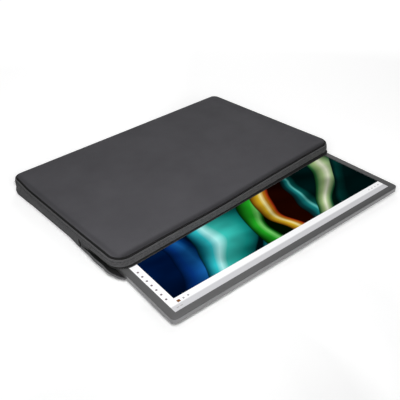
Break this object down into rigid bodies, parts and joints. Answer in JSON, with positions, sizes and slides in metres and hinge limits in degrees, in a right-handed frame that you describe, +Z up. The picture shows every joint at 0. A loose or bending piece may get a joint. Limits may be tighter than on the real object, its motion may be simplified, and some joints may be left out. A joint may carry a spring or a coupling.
{
  "type": "portable monitor in a zip sleeve",
  "caption": "Slim portable monitor with side sockets, side buttons and a kickstand, half drawn out of a padded sleeve with a zip round its mouth.",
  "frame": {"origin": "centre of the sleeve's underside, on the surface it lies on", "axes": "+Z up, +X along the sleeve's long side, the mouth faces -Y"},
  "size_m": [0.3809, 0.3602, 0.0273],
  "materials": {
    "sleeve_skin": "soft matt artificial leather",
    "sleeve_band": "soft matt artificial leather",
    "piping": "satin",
    "foam": "closed-cell foam sheet",
    "lining": "short plush",
    "zip_tape": "woven",
    "zip_metal": "dark plated",
    "monitor_shell": "satin grey",
    "bezel": "satin grey",
    "screen_glass": "clear over a lit picture",
    "films": "hazy",
    "light_guide": "clear acrylic",
    "reflector": "white",
    "led_strip": "small yellow lamps on a strip",
    "tray_metal": "thin zinc-plated sheet",
    "circuit_board": "solder mask",
    "shield_metal": "tinned",
    "flex": "polyimide film",
    "flat_cable": "ribbon",
    "socket_metal": "satin",
    "light_pipe": "frosted",
    "screw_steel": "blackened",
    "foot_rubber": "matt",
    "hinge_steel": "satin",
    "stand_shell": "satin grey",
    "button": "satin grey"
  },
  "bodies": {
    "sleeve": {"bottom_cover": "sleeve_skin", "bottom_padding": "foam", "bottom_lining": "lining", "back_band": "sleeve_band", "side_bands": "sleeve_band", "corner_bands": "sleeve_band", "piping_rear": "piping", "top_cover_rear": "sleeve_skin", "top_padding_rear": "foam", "top_lining_rear": "lining", "lower_zip_tape": "zip_tape", "zip_stops": "zip_metal"},
    "flap": {"front_band": "sleeve_band", "piping_front": "piping", "top_cover_front": "sleeve_skin", "top_padding_front": "foam", "top_lining_front": "lining", "upper_zip_tape": "zip_tape"},
    "slider": {"zip_slider": "zip_metal"},
    "pull": {"zip_pull": "zip_metal"},
    "monitor": {"rear_cover": "monitor_shell", "front_bezel": "bezel", "display_glass": "screen_glass", "light_films": "films", "light_guide": "light_guide", "reflector_sheet": "reflector", "led_strip": "led_strip", "panel_tray": "tray_metal", "main_board": "circuit_board", "shield_can": "shield_metal", "timing_board": "circuit_board", "panel_flex": "flex", "link_cable": "flat_cable", "usb_ports": "socket_metal", "video_port": "socket_metal", "button_board": "circuit_board", "status_light": "light_pipe", "cover_screws": "screw_steel", "rubber_feet": "foot_rubber", "hinge_brackets": "hinge_steel", "hinge_pins": "hinge_steel"},
    "stand": {"kickstand": "stand_shell"},
    "power_key": {"power_button": "button"},
    "up_key": {"up_button": "button"},
    "down_key": {"down_button": "button"}
  },
  "joints": [
    {"name": "monitor_draw", "type": "hinge", "parent": "sleeve", "child": "monitor", "pos_m": [-1.59406, -0.03448, 0.0075], "axis": [0, 0, -1], "range_deg": [-4, 5.7]},
    {"name": "flap_lift", "type": "hinge", "parent": "sleeve", "child": "flap", "pos_m": [0, -0.048, 0.0245], "axis": [-1, 0, 0], "range_deg": [0, 40]},
    {"name": "zip_slide", "type": "slide", "parent": "sleeve", "child": "slider", "axis": [0, -1, 0], "range_m": [0, 0.042]},
    {"name": "pull_swing", "type": "hinge", "parent": "slider", "child": "pull", "pos_m": [0.1909, -0.0536, 0.00715], "axis": [0, 0, -1], "range_deg": [0, 160]},
    {"name": "stand_hinge", "type": "hinge", "parent": "monitor", "child": "stand", "pos_m": [-0.00364, -0.1422, 0.0055], "axis": [0.9976, -0.0698, 0], "range_deg": [0, 75]},
    {"name": "power_press", "type": "slide", "parent": "monitor", "child": "power_key", "axis": [-0.9976, 0.0698, 0], "range_m": [0, 0.0004], "stiffness_N_per_m": 1200},
    {"name": "up_press", "type": "slide", "parent": "monitor", "child": "up_key", "axis": [-0.9976, 0.0698, 0], "range_m": [0, 0.0004], "stiffness_N_per_m": 1200},
    {"name": "down_press", "type": "slide", "parent": "monitor", "child": "down_key", "axis": [-0.9976, 0.0698, 0], "range_m": [0, 0.0004], "stiffness_N_per_m": 1200}
  ]
}
